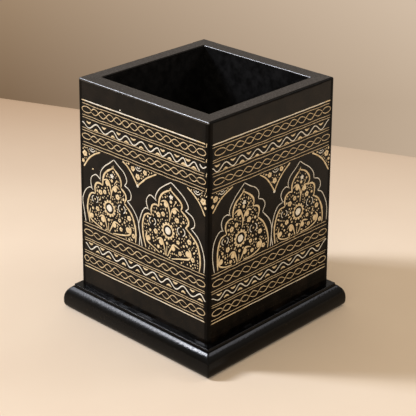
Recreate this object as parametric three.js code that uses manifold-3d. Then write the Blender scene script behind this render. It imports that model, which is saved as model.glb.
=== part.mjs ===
// A square pen holder: four mitred boards round a well, on a wider moulded plinth.
// Millimetres, +Z up. The origin is under the middle of the plinth, at table height.
import * as THREE from "three";
import { mergeVertices } from "three/addons/utils/BufferGeometryUtils.js";
import Module from "manifold-3d";

const wasm = await Module();
wasm.setup();

// The box of four walls
const bodySide = 70;
const wallHeight = 89.5;
const wallThickness = 6.5;
const outerEdgeRadius = 0.7;
const innerEdgeRadius = 0.5;

// The plinth, whose outline steps out from the wall faces
const plinthHeight = 10.5;
const ledgeWidth = 2.8;
const ledgeEdgeRadius = 0.3;
const stepDepth = 0.8;
const quirkWidth = 0.5;
const noseReach = 2.85;
const bandHeight = 1.2;
const footTuck = 1.1;
const footHeight = 2.2;
const plinthCornerRadius = 0.6;

// The floor of the well and the felt under the plinth
const floorThickness = 4;
const feltThickness = 1.3;
const feltProud = 0.3;
const feltPastScrews = 1.7;
const feltCornerRadius = 1;
const floorCornerRadius = 0.5;

// Wood screws, driven up through the plinth into the middle of each wall's lower edge
const screwLength = 16;
const screwRadius = 1.45;
const screwCoreRadius = 1;
const screwHeadRadius = 2.7;
const screwHeadRim = 0.3;
const screwHeadHeight = 1.8;
const screwTipHeight = 2.5;
const screwNeck = 4;
const threadPitch = 1.2;
const driveLength = 3.2;
const driveWidth = 0.7;
const driveDepth = 1;

// Brads, driven through the front and back boards across the mitres
const bradLength = 15;
const bradRadius = 0.6;
const bradHeadRadius = 0.85;
const bradHeadHeight = 0.6;
const bradTipHeight = 1.4;
const bradCover = 1;
const bradFromEnd = 18;

// Clearances
const fastenerGap = 0.3;
const floorGap = 0.3;
const feltGap = 0.4;

// How finely round shapes are cut, and how far a cutter runs past what it cuts
const arcSteps = 2;
const noseSteps = 6;
const screwSides = 12;
const bradSides = 8;
const overshoot = 1;
const mergeDistance = 1e-4;

// Sizes that follow from those above
const half = bodySide / 2;
const wellHalf = half - wallThickness;
const wallMiddle = half - wallThickness / 2;
const plinthHalf = half + ledgeWidth + quirkWidth + noseReach;
const undersideZ = feltProud;
const recessTop = feltThickness;
const feltHalf = wallMiddle + screwHeadRadius + feltPastScrews;

const lacquer = { color: 0x171412, roughness: 0.4, metalness: 0 };
const glossLacquer = { color: 0x0e0d0d, roughness: 0.25, metalness: 0 };
const felt = { color: 0x14211a, roughness: 1, metalness: 0 };
const steel = { color: 0x9a9a98, roughness: 0.35, metalness: 1 };

function toSolid(geometry) {
  const bare = geometry.clone();
  bare.deleteAttribute("normal");
  bare.deleteAttribute("uv");
  const merged = mergeVertices(bare, mergeDistance);
  const corners = merged.index.array;
  const kept = [];
  for (let i = 0; i < corners.length; i += 3) {
    const [a, b, c] = corners.slice(i, i + 3);
    if (a !== b && b !== c && c !== a) kept.push(a, b, c);
  }
  const vertProperties = merged.attributes.position.array;
  return new wasm.Manifold(new wasm.Mesh({ numProp: 3, vertProperties, triVerts: new Uint32Array(kept) }));
}

function toGeometry(solid) {
  const mesh = solid.getMesh();
  const geometry = new THREE.BufferGeometry();
  geometry.setAttribute("position", new THREE.BufferAttribute(mesh.vertProperties, 3));
  geometry.setIndex(new THREE.BufferAttribute(mesh.triVerts, 1));
  geometry.computeVertexNormals();
  return geometry;
}

function named(name, geometry, look) {
  const mesh = new THREE.Mesh(geometry, new THREE.MeshStandardMaterial(look));
  mesh.name = name;
  return mesh;
}

// A shape seen from above, raised from one height to another
function raised(shape, bottom, top) {
  const options = { depth: top - bottom, bevelEnabled: false, curveSegments: arcSteps };
  return new THREE.ExtrudeGeometry(shape, options).translate(0, 0, bottom);
}

// A shape drawn across and up, run along X
function runAlongX(shape, length) {
  const x = new THREE.Vector3(1, 0, 0);
  const y = new THREE.Vector3(0, 1, 0);
  const z = new THREE.Vector3(0, 0, 1);
  return raised(shape, -length / 2, length / 2).applyMatrix4(new THREE.Matrix4().makeBasis(y, z, x));
}

// A profile of [radius, height] points turned about Z
function turned(profile, sides) {
  const points = profile.map(([radius, height]) => new THREE.Vector2(radius, height));
  return new THREE.LatheGeometry(points, sides).rotateX(Math.PI / 2);
}

// The outline of one wall from above: mitred ends with half of each rounded corner
function wallPlan() {
  const centre = half - outerEdgeRadius;
  const plan = new THREE.Shape();
  plan.absarc(-centre, -centre, outerEdgeRadius, 1.25 * Math.PI, 1.5 * Math.PI, false);
  plan.absarc(centre, -centre, outerEdgeRadius, 1.5 * Math.PI, 1.75 * Math.PI, false);
  plan.lineTo(wellHalf, -wellHalf);
  plan.lineTo(-wellHalf, -wellHalf);
  plan.closePath();
  return plan;
}

// A wall cut across: both edges of the rim are rounded
function wallSection() {
  const [outer, inner] = [outerEdgeRadius, innerEdgeRadius];
  const section = new THREE.Shape();
  section.moveTo(-half, 0);
  section.lineTo(-wellHalf, 0);
  section.absarc(-wellHalf - inner, wallHeight - inner, inner, 0, 0.5 * Math.PI, false);
  section.absarc(-half + outer, wallHeight - outer, outer, 0.5 * Math.PI, Math.PI, false);
  section.closePath();
  return section;
}

// A quarter of an ellipse, clockwise from an angle
function quarter(x, z, reach, height, from, steps) {
  return new THREE.EllipseCurve(x, z, reach, height, from, from - 0.5 * Math.PI, true).getPoints(steps);
}

// The plinth's edge from the ledge down to the foot
function plinthEdge() {
  const ledge = half + ledgeWidth;
  const quirk = ledge + quirkWidth;
  const stepZ = plinthHeight - stepDepth;
  const footZ = undersideZ + footHeight;
  const noseZ = footZ + bandHeight;
  const lip = ledgeEdgeRadius;
  return [
    ...quarter(ledge - lip, plinthHeight - lip, lip, lip, 0.5 * Math.PI, arcSteps),
    new THREE.Vector2(ledge, stepZ),
    ...quarter(quirk, noseZ, noseReach, stepZ - noseZ, 0.5 * Math.PI, noseSteps),
    ...quarter(plinthHalf - footTuck, footZ, footTuck, footHeight, 0, noseSteps),
  ];
}

function roundedSquare(halfSide, radius) {
  const centre = halfSide - radius;
  const outline = new THREE.Shape();
  for (let corner = 0; corner < 4; corner += 1) {
    const from = (corner / 2) * Math.PI;
    const [cx, cy] = [[1, 1], [-1, 1], [-1, -1], [1, -1]][corner];
    outline.absarc(cx * centre, cy * centre, radius, from, from + 0.5 * Math.PI, false);
  }
  outline.closePath();
  return outline;
}

function plate(halfSide, radius, bottom, top) {
  return raised(roundedSquare(halfSide, radius), bottom, top);
}

// Screws

const screwHeadZ = recessTop + fastenerGap;
const screwTipZ = screwHeadZ + screwLength;

function screwGeometry() {
  const profile = [
    [0, screwHeadZ],
    [screwHeadRadius, screwHeadZ],
    [screwHeadRadius, screwHeadZ + screwHeadRim],
    [screwRadius, screwHeadZ + screwHeadHeight],
    [screwRadius, screwHeadZ + screwHeadHeight + screwNeck],
  ];
  const threadEnd = screwTipZ - screwTipHeight;
  let z = screwHeadZ + screwHeadHeight + screwNeck;
  while (z + threadPitch <= threadEnd) {
    profile.push([screwCoreRadius, z + threadPitch / 4], [screwCoreRadius, z + threadPitch / 2]);
    profile.push([screwRadius, z + threadPitch]);
    z += threadPitch;
  }
  profile.push([screwCoreRadius, threadEnd + threadPitch / 4], [0, screwTipZ]);
  let solid = toSolid(turned(profile, screwSides));
  for (const turn of [0, 0.5 * Math.PI]) {
    const slot = new THREE.BoxGeometry(driveLength, driveWidth, 2 * driveDepth);
    solid = solid.subtract(toSolid(slot.rotateZ(turn).translate(0, 0, screwHeadZ)));
  }
  return toGeometry(solid);
}

function screwHole(spot) {
  const wide = screwHeadRadius + fastenerGap;
  const narrow = screwRadius + fastenerGap;
  return turned([
    [0, undersideZ - overshoot],
    [wide, undersideZ - overshoot],
    [wide, screwHeadZ + screwHeadRim + fastenerGap],
    [narrow, screwHeadZ + screwHeadHeight + fastenerGap],
    [narrow, screwTipZ - screwTipHeight],
    [0, screwTipZ + fastenerGap],
  ], screwSides).translate(spot.x, spot.y, 0);
}

const screwSpots = [
  { side: "front", x: 0, y: -wallMiddle },
  { side: "right", x: wallMiddle, y: 0 },
  { side: "back", x: 0, y: wallMiddle },
  { side: "left", x: -wallMiddle, y: 0 },
];

// Brads, whose heads face out through the front and back boards

function bradProfile(gap) {
  return [
    [0, -gap],
    [bradHeadRadius + gap, -gap],
    [bradHeadRadius + gap, bradHeadHeight + gap],
    [bradRadius + gap, bradHeadHeight + gap],
    [bradRadius + gap, bradLength - bradTipHeight + gap],
    [0, bradLength + gap],
  ];
}

function bradHole(spot) {
  const hole = turned(bradProfile(fastenerGap), bradSides);
  return hole.rotateX(spot.lean).translate(spot.x, spot.y, spot.z);
}

const bradSpots = [];
const bradHeadY = half - bradCover - fastenerGap;
const lowBradZ = plinthHeight + bradFromEnd;
const highBradZ = plinthHeight + wallHeight - bradFromEnd;
for (const [board, facing] of [["front", -1], ["back", 1]]) {
  const y = facing * bradHeadY;
  const lean = facing * 0.5 * Math.PI;
  for (const [end, x] of [["left", -wallMiddle], ["right", wallMiddle]]) {
    for (const [level, z] of [["low", lowBradZ], ["high", highBradZ]]) {
      bradSpots.push({ name: `brad_${board}_${end}_${level}`, x, y, z, lean });
    }
  }
}

// Walls

function wallGeometry(turn) {
  const board = runAlongX(wallSection(), bodySide + 2 * overshoot).rotateZ(turn);
  const mitres = raised(wallPlan(), -overshoot, wallHeight + overshoot).rotateZ(turn);
  let solid = toSolid(board.translate(0, 0, plinthHeight));
  solid = solid.intersect(toSolid(mitres.translate(0, 0, plinthHeight)));
  for (const spot of screwSpots) {
    solid = solid.subtract(toSolid(screwHole(spot)));
  }
  for (const spot of bradSpots) {
    solid = solid.subtract(toSolid(bradHole(spot)));
  }
  return toGeometry(solid);
}

// The plinth: its edge is routed along X and along Y, so the mouldings meet in mitres

function plinthGeometry() {
  const edge = plinthEdge();
  const farEdge = edge.toReversed().map((point) => new THREE.Vector2(-point.x, point.y));
  const section = new THREE.Shape([...edge, ...farEdge]);
  const alongX = runAlongX(section, 2 * (plinthHalf + overshoot));
  const alongY = alongX.clone().rotateZ(0.5 * Math.PI);
  const blank = plate(plinthHalf, plinthCornerRadius, undersideZ - overshoot, plinthHeight + overshoot);
  const recess = plate(feltHalf + feltGap, feltCornerRadius + feltGap, undersideZ - overshoot, recessTop);
  let solid = toSolid(blank).intersect(toSolid(alongX)).intersect(toSolid(alongY));
  solid = solid.subtract(toSolid(recess));
  for (const spot of screwSpots) {
    solid = solid.subtract(toSolid(screwHole(spot)));
  }
  return toGeometry(solid);
}

// The pen holder
const penHolder = new THREE.Group();

const carcass = new THREE.Group();
for (const [quarterTurns, side] of ["front", "right", "back", "left"].entries()) {
  carcass.add(named(`${side}_wall`, wallGeometry(quarterTurns * 0.5 * Math.PI), lacquer));
}
const floorPlate = plate(wellHalf - floorGap, floorCornerRadius, 0, floorThickness);
const floorBoard = named("floor_board", floorPlate, lacquer);
floorBoard.position.z = plinthHeight;
carcass.add(floorBoard);
penHolder.add(carcass);

const base = new THREE.Group();
base.add(named("plinth_board", plinthGeometry(), glossLacquer));
base.add(named("felt_pad", plate(feltHalf, feltCornerRadius, 0, feltThickness), felt));
penHolder.add(base);

const fasteners = new THREE.Group();
for (const spot of screwSpots) {
  const screw = named(`base_screw_${spot.side}`, screwGeometry(), steel);
  screw.position.set(spot.x, spot.y, 0);
  fasteners.add(screw);
}
for (const spot of bradSpots) {
  const brad = named(spot.name, turned(bradProfile(0), bradSides), steel);
  brad.rotation.x = spot.lean;
  brad.position.set(spot.x, spot.y, spot.z);
  fasteners.add(brad);
}
penHolder.add(fasteners);

export default penHolder;
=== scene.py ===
"""A square pen holder in black lacquer, painted by hand with interlace bands and cusped arches."""
import random
from math import cos, dist, hypot, pi, radians, sin, sqrt, tau

import bmesh
import bpy
from mathutils import Matrix, Vector, noise


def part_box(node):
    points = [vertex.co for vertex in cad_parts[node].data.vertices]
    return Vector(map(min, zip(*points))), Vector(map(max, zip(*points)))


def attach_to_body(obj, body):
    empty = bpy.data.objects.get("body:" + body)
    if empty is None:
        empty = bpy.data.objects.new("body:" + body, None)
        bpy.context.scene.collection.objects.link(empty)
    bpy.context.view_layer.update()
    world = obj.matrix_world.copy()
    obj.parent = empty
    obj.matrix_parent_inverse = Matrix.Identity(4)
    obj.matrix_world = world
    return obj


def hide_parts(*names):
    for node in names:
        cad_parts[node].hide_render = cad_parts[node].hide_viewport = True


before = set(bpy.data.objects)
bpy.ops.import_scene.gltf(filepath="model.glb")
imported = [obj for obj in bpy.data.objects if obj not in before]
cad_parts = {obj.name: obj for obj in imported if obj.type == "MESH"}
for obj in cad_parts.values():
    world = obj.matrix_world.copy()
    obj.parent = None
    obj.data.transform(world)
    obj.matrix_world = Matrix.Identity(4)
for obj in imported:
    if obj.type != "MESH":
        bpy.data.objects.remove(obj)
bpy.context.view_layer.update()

# Shapes are worked out in millimetres and made in metres
MM = 0.001
MERGE_DISTANCE = 0.002 * MM

# Sizes read from the frame
plinth_low, plinth_high = [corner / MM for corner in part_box("plinth_board")]
front_low, front_high = [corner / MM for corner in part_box("front_wall")]
felt_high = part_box("felt_pad")[1] / MM
BODY_HALF = front_high.x
WALL_THICKNESS = front_high.y - front_low.y
WALL_FOOT = front_low.z
RIM_HEIGHT = front_high.z
PLINTH_TOP = plinth_high.z
PLINTH_UNDERSIDE = plinth_low.z
FELT_HALF = felt_high.x
FELT_TOP = felt_high.z

# Edges of the boards: they stay even near the mitres, over the boards' thickness and EVEN_END more
OUTER_EDGE_RADIUS = 0.7
INNER_EDGE_RADIUS = 0.5
EDGE_SUPPORT = 0.15
EDGE_UNEVENNESS = {"outer edge": 0.07, "inner edge": 0.035}
EDGE_WAVELENGTH = 2.6
EVEN_END = 0.5
CORNER_RADIUS = 0.6
CORNER_STEPS = 5
CORNER_FLATS = 2
WALL_STATIONS = 110

# The walls' outer faces lean in a little toward the rim, as the photograph shows
WALL_FOOT_HALF = BODY_HALF + 0.85

# The plinth's moulding: a fillet against the walls, a flat ledge, a step, the nose and a tucked-in foot
FILLET = 0.06
FILLET_SINK = 0.05
TOP_REACH = WALL_FOOT_HALF - 0.12
LEDGE_REACH = 38.15
LEDGE_EDGE_RADIUS = 0.25
STEP_FLARE = (0.06, 0.08)
NOSE_REACH = 41.45
NOSE_CURVE = (
    (38.45, 9.48), (38.68, 9.4), (38.92, 9.2), (39.3, 8.85), (39.7, 8.44), (40.07, 8.0), (40.4, 7.53),
    (40.68, 7.05), (40.9, 6.55), (41.09, 6.0), (41.24, 5.4), (41.35, 4.8), (41.42, 4.2), (41.45, 3.7),
)
FOOT_TUCK = 1.1
FOOT_HEIGHT = 2.2
RECESS_BEVEL = 0.1
PLINTH_CORNER_RADIUS = 0.35
PLINTH_STATIONS = 110
PLINTH_UNEVENNESS = 0.0005

# The felt: each ring's inset from its edge and height
FELT_RINGS = ((0.25, 0.0), (0.06, 0.08), (0.0, 0.3), (0.0, FELT_TOP - 0.25), (0.12, FELT_TOP))
FELT_GAP = 0.4
FELT_CORNER_RADIUS = 1.0
FELT_STATIONS = 90
FELT_FUZZ = 0.0012

# Paint stands this far off the lacquer, and its base is sunk this far into it
GOLD_LIFT = 0.035
CREAM_LIFT = 0.06
PAINT_SINK = 0.03

# The camera of the photograph: degrees and millimetres
CAMERA_AZIMUTH = 43.5944
CAMERA_ELEVATION = 24.645
CAMERA_ROLL = 0.4128
CAMERA_DISTANCE = 529.81
CAMERA_LENS = 114.74
CAMERA_SENSOR = 36.0
AIM_HEIGHT = 52.02
AIM_RIGHT = -0.895
AIM_UP = 6.76


# Meshes


def arc(centre, radii, start, end, steps):
    """Points on an elliptical arc; the angles are in degrees."""
    points = []
    for step in range(steps + 1):
        angle = radians(start + (end - start) * step / steps)
        points.append((centre[0] + radii[0] * cos(angle), centre[1] + radii[1] * sin(angle)))
    return points


def smooth_line(points, step):
    """Points about step apart on a curve through the given ones, which may carry a width as well."""
    if len(points) < 3:
        first, last = points[0], points[-1]
        count = max(1, round(dist(first[:2], last[:2]) / step))
        return [tuple(a + (b - a) * i / count for a, b in zip(first, last)) for i in range(count + 1)]
    line = []
    for index in range(len(points) - 1):
        b, c = points[index], points[index + 1]
        a = points[index - 1] if index else tuple(2 * p - q for p, q in zip(b, c))
        d = points[index + 2] if index + 2 < len(points) else tuple(2 * q - p for p, q in zip(b, c))
        count = max(1, round(dist(b[:2], c[:2]) / step))
        for i in range(count):
            t = i / count
            spot = []
            for p, q, r, s in zip(a, b, c, d):
                cubic = (3 * q - p - 3 * r + s) * t ** 3
                spot.append(0.5 * (2 * q + (r - p) * t + (2 * p - 5 * q + 4 * r - s) * t * t + cubic))
            line.append(tuple(spot))
    line.append(points[-1])
    return line


def new_object(name, data):
    made = bpy.data.objects.new(name, data)
    bpy.context.scene.collection.objects.link(made)
    return made


def make_object(name, points, faces, materials, smooth=None, slots=None):
    """An object from points in millimetres."""
    mesh = bpy.data.meshes.new(name)
    mesh.from_pydata([(x * MM, y * MM, z * MM) for x, y, z in points], [], faces)
    for material in materials:
        mesh.materials.append(material)
    if slots:
        mesh.polygons.foreach_set("material_index", slots)
    mesh.polygons.foreach_set("use_smooth", smooth or [True] * len(faces))
    return new_object(name, mesh)


def tidy_mesh(piece, sharp_angle=38):
    """Merges points that meet, turns faces outward and marks sharp edges."""
    work = bmesh.new()
    work.from_mesh(piece.data)
    bmesh.ops.remove_doubles(work, verts=work.verts, dist=MERGE_DISTANCE)
    bmesh.ops.dissolve_degenerate(work, edges=work.edges, dist=MERGE_DISTANCE / 4)
    bmesh.ops.recalc_face_normals(work, faces=work.faces)
    limit = radians(sharp_angle)
    for edge in work.edges:
        if len(edge.link_faces) == 2 and edge.calc_face_angle(0) > limit:
            edge.smooth = False
    work.to_mesh(piece.data)
    work.free()


def ring_solid(name, rings, material):
    """A closed piece through stacked rings of points, flat at both ends."""
    count = len(rings[0])
    faces = []
    for row in range(len(rings) - 1):
        for column in range(count):
            a = row * count + column
            b = row * count + (column + 1) % count
            faces.append((a, b, b + count, a + count))
    total = len(rings) * count
    faces.append(tuple(range(count)))
    faces.append(tuple(range(total - count, total)))
    return make_object(name, [point for ring in rings for point in ring], faces, [material])


def attach(piece, node=None):
    """Puts a piece on the fixed body, in the place of a CAD node if one is named."""
    if node:
        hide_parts(node)
    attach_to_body(piece, "root")


# Materials: sizes in them are in millimetres


def add_node(tree, kind, **inputs):
    """A node with some inputs set to numbers or colours or linked; an underscore stands for a space."""
    node = tree.nodes.new(f"ShaderNode{kind}")
    for name, value in inputs.items():
        put(value, node.inputs[name.replace("_", " ")])
    return node


def put(value, socket):
    """Sets a socket to a number or colour, or links it to another socket."""
    if isinstance(value, bpy.types.NodeSocket):
        socket.id_data.links.new(value, socket)
    elif socket.type == "RGBA":
        socket.default_value = (*value, 1.0)
    else:
        socket.default_value = value


def blank_material(name):
    material = bpy.data.materials.new(name)
    material.use_nodes = True
    material.node_tree.nodes.clear()
    return material, material.node_tree


def finished(material, **inputs):
    """Ends a material in a shader with the given inputs."""
    shader = add_node(material.node_tree, "BsdfPrincipled", **inputs)
    add_node(material.node_tree, "OutputMaterial", Surface=shader.outputs["BSDF"])
    return material


def noise_field(tree, size, detail, stretch=(1, 1, 1)):
    """Noise whose features are about size millimetres, longer where stretch is above one."""
    where = add_node(tree, "TexCoord").outputs["Object"]
    scaled = add_node(tree, "Mapping", Vector=where, Scale=[1 / (size * MM * part) for part in stretch])
    field = add_node(tree, "TexNoise", Vector=scaled.outputs["Vector"], Scale=1.0, Detail=detail)
    return field.outputs["Fac"]


def ranged(field, low, high, start=0.3, end=0.7):
    """Maps a field from start..end onto low..high."""
    limits = {"From_Min": start, "From_Max": end, "To_Min": low, "To_Max": high}
    return add_node(field.id_data, "MapRange", Value=field, **limits).outputs["Result"]


def blended(factor, low, high, kind="RGBA"):
    """Between two colours, or two numbers if kind is VALUE; each may be a socket."""
    node = add_node(factor.id_data, "Mix")
    if kind == "RGBA":
        node.data_type = "RGBA"
    put(factor, node.inputs["Factor"])
    for name, value in (("A", low), ("B", high)):
        put(value, next(s for s in node.inputs if s.name == name and s.type == kind))
    return next(s for s in node.outputs if s.type == kind)


def bumped(*fields):
    """The normal after (field, height) bumps, one on another."""
    normal = None
    for field, height in fields:
        bump = add_node(field.id_data, "Bump", Height=field, Distance=height * MM)
        if normal:
            put(normal, bump.inputs["Normal"])
        normal = bump.outputs["Normal"]
    return normal


def dusted(base, spacing, radius):
    """A colour with small round specks of dust on it."""
    tree = base.id_data
    where = add_node(tree, "TexCoord").outputs["Object"]
    cells = add_node(tree, "TexVoronoi", Vector=where, Scale=1 / (spacing * MM))
    speck = ranged(cells.outputs["Distance"], 1.0, 0.0, 0.6 * radius / spacing, radius / spacing)
    return blended(speck, base, DUST)


def distance_along(where, direction):
    """How far a point lies along a direction."""
    node = add_node(where.id_data, "VectorMath")
    node.operation = "DOT_PRODUCT"
    put(where, node.inputs[0])
    put(direction, node.inputs[1])
    return node.outputs["Value"]


def wall_lacquer(name, stretch, specular):
    """Black lacquer with brush marks, orange peel, brownish clouds and a few specks of dust."""
    material, tree = blank_material(name)
    cloud = noise_field(tree, 7, 4.0)
    streaks = noise_field(tree, 0.5, 3.0, stretch)
    base = blended(ranged(cloud, 0, 1, 0.38, 0.70), BLACK, CLOUD_BROWN)
    return finished(
        material,
        Base_Color=dusted(base, 5, 0.09),
        Roughness=ranged(streaks, 0.12, 0.20),
        Specular_IOR_Level=specular,
        Normal=bumped((noise_field(tree, 1.3, 1.0), 0.012), (streaks, 0.002)),
    )


def rim_lacquer(name, stretch, painted_light):
    """The rim's lacquer, worn by pens: grain along the board, scratches and grey dust, all made lighter or
    darker for each side as painted light.
    """
    material, tree = blank_material(name)
    grain = noise_field(tree, 0.8, 3.0, stretch)
    grit = noise_field(tree, 0.8, 3.0)
    rubbed, worn, dusty = [tuple(painted_light * part for part in colour) for colour in (RUBBED, WORN, DUSTY)]
    base = blended(ranged(grain, 0, 1, 0.36, 0.64), rubbed, worn)
    base = blended(ranged(grit, 0, 1, 0.46, 0.72), base, dusty)
    return finished(
        material,
        Base_Color=dusted(base, 2.4, 0.12),
        Roughness=ranged(grain, 0.22, 0.46),
        Specular_IOR_Level=0.15,
        Normal=bumped((grain, 0.04), (grit, 0.03)),
    )


def gritty_lacquer(name, light, rough, specular, polished=None):
    """Lacquer with a dusty grain; with polished given, it is rubbed smooth where the mesh says "polish"."""
    material, tree = blank_material(name)
    cloud = noise_field(tree, 9, 3.0)
    grit = noise_field(tree, 0.8, 3.0)
    roughness = ranged(grit, *rough)
    if polished:
        polish = add_node(tree, "Attribute")
        polish.attribute_name = "polish"
        roughness = blended(polish.outputs["Fac"], roughness, ranged(grit, *polished), "VALUE")
    return finished(
        material,
        Base_Color=dusted(blended(ranged(cloud, 0, 1), BLACK, light), 4, 0.1),
        Roughness=roughness,
        Specular_IOR_Level=specular,
        Normal=bumped((noise_field(tree, 1.6, 1.0), 0.012), (grit, 0.026)),
    )


def matt_lacquer(name, dark, light, patch, roughness, specular):
    """Unpolished lacquer in soft uneven patches, as inside the well."""
    material, tree = blank_material(name)
    cloud = noise_field(tree, patch, 4.0)
    base = blended(ranged(cloud, 0, 1, 0.35, 0.68), dark, light)
    return finished(
        material,
        Base_Color=dusted(base, 3, 0.1),
        Roughness=ranged(cloud, roughness - 0.06, roughness + 0.06),
        Specular_IOR_Level=specular,
        Normal=bumped((noise_field(tree, 0.8, 3.0), 0.02)),
    )


def paint(name, deep, pale):
    """Hand-laid paint: thicker and thinner patches, with a dry brush's fine grain."""
    material, tree = blank_material(name)
    patches = noise_field(tree, 1.6, 3.0)
    grain = noise_field(tree, 0.18, 2.0)
    return finished(
        material,
        Base_Color=blended(ranged(patches, 0, 1), deep, pale),
        Roughness=ranged(grain, 0.42, 0.6),
        Specular_IOR_Level=0.4,
        Normal=bumped((grain, 0.012), (patches, 0.015)),
    )


def felt_material():
    material, tree = blank_material("felt")
    nap = noise_field(tree, 0.35, 4.0)
    return finished(
        material,
        Base_Color=blended(ranged(nap, 0, 1), (0.010, 0.018, 0.013), (0.028, 0.043, 0.033)),
        Roughness=0.95,
        Sheen_Weight=0.35,
        Sheen_Roughness=0.5,
        Normal=bumped((nap, 0.25)),
    )


def steel_material():
    material, tree = blank_material("steel")
    turning = noise_field(tree, 0.12, 2.0, (1, 1, 0.2))
    return finished(
        material,
        Base_Color=blended(turning, (0.50, 0.50, 0.49), (0.62, 0.62, 0.60)),
        Roughness=ranged(turning, 0.25, 0.42),
        Metallic=1.0,
        Normal=bumped((turning, 0.01)),
    )


BLACK = (0.0006, 0.0005, 0.0004)
BROWN_BLACK = (0.0040, 0.0028, 0.0018)
CLOUD_BROWN = (0.0075, 0.0052, 0.0034)
RUBBED = (0.009, 0.0078, 0.0074)
WORN = (0.026, 0.0225, 0.0215)
DUSTY = (0.050, 0.0455, 0.0435)
DUST = (0.10, 0.095, 0.09)
# The walls' gloss from these heights above their foot: the side walls grow duller toward it, as painted
# shade for the shaded floor and plinth that their lower part mirrors
SHADED_GLOSS = {
    "x": ((0, 0.122), (80.6, 0.112)),
    "y": (
        (0, 0.02), (2.2, 0.027), (4.4, 0.036), (7.0, 0.05), (11.0, 0.072), (17.0, 0.10), (26.0, 0.12),
        (80.2, 0.165),
    ),
}
wall_lacquers = {}
rim_lacquers = {}
# Painted light: the side walls' rims are coloured lighter and the front and back rims darker, for how the
# light falls on each
for along, stretch, rim_painted_light in (("x", (14, 1, 1), 0.9), ("y", (1, 14, 1), 1.18)):
    wall_lacquers[along] = [
        wall_lacquer(f"wall_lacquer_{along}_{step}", stretch, shaded_gloss)
        for step, (_, shaded_gloss) in enumerate(SHADED_GLOSS[along])
    ]
    rim_stretch = [0.35 * part + 0.65 for part in stretch]
    rim_lacquers[along] = rim_lacquer(f"rim_lacquer_{along}", rim_stretch, rim_painted_light)
# The front and back boards' edges are glossy; the side boards' edges are dull so they show no highlight:
# painted shade
edge_lacquers = {
    "x": gritty_lacquer("edge_lacquer", BROWN_BLACK, (0.26, 0.42), 0.95),
    "y": gritty_lacquer("shaded_edge_lacquer", BROWN_BLACK, (0.3, 0.42), 0.06),
}
# Painted shade: the boards' vertical corners take a darker, duller lacquer, for the dark band that shade
# leaves down each corner
corner_shade_lacquer = matt_lacquer("corner_shade_lacquer", BLACK, BROWN_BLACK, 5, 0.34, 0.05)
well_lacquer = matt_lacquer("well_lacquer", (0.004, 0.004, 0.004), (0.0115, 0.0115, 0.012), 3, 0.5, 0.08)
plinth_lacquer = gritty_lacquer("plinth_lacquer", (0.0015, 0.0015, 0.0017), (0.28, 0.36), 0.13, (0.10, 0.15))
gold_paint = paint("gold_paint", (0.62, 0.465, 0.245), (0.89, 0.745, 0.475))
thin_gold_paint = paint("thin_gold_paint", (0.50, 0.37, 0.19), (0.80, 0.64, 0.40))
cream_paint = paint("cream_paint", (0.76, 0.72, 0.59), (0.90, 0.885, 0.80))
felt = felt_material()
steel = steel_material()


# Walls


def outer_half(height):
    """Half the body's width at a height."""
    share = (height - WALL_FOOT) / (RIM_HEIGHT - WALL_FOOT)
    return WALL_FOOT_HALF + (BODY_HALF - WALL_FOOT_HALF) * share


def leaned(x, y, height, inset):
    """Moves a point of an upright front wall to where it lies on the leaning one."""
    shift = (outer_half(height) - BODY_HALF) * (1 - inset / WALL_THICKNESS)
    scale = 1 + shift / (BODY_HALF - inset)
    return x * scale, y * scale


def wall_section(along):
    """(inset from the outer face, height, which part) from the outer foot over the rim to the inner foot."""
    outer, inner = OUTER_EDGE_RADIUS, INNER_EDGE_RADIUS
    top, thickness = RIM_HEIGHT, WALL_THICKNESS
    near, far = EDGE_SUPPORT, 4 * EDGE_SUPPORT
    strips = (
        ("face", [(0, WALL_FOOT + level) for level, _ in SHADED_GLOSS[along]]),
        ("face", [(0, top - outer - far), (0, top - outer - near)]),
        ("outer edge", arc((outer, top - outer), (outer, outer), 180, 90, 8)),
        ("rim", [(outer + near, top), (outer + far, top)]),
        ("rim", [(thickness - inner - far, top), (thickness - inner - near, top)]),
        ("inner edge", arc((thickness - inner, top - inner), (inner, inner), 90, 0, 6)),
        ("well", [(thickness, top - inner - near), (thickness, top - inner - far), (thickness, WALL_FOOT)]),
    )
    return [(inset, height, part) for part, strip in strips for inset, height in strip]


def wall_run(inset):
    """Plan points of the front wall at one inset, from its left mitre to its right one."""
    radius = max(CORNER_RADIUS - inset, 0)
    reach = BODY_HALF - inset - radius
    left = arc((-reach, -reach), (radius, radius), 225, 270, CORNER_STEPS)
    right = arc((reach, -reach), (radius, radius), 270, 315, CORNER_STEPS)
    start, end = left[-1], right[0]
    run = list(left)
    for station in range(1, WALL_STATIONS):
        share = station / WALL_STATIONS
        run.append((start[0] + (end[0] - start[0]) * share, start[1]))
    run.extend(right)
    return run


def quarter_turned(point, turns):
    x, y, z = point
    for _ in range(turns):
        x, y = -y, x
    return x, y, z


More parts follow.
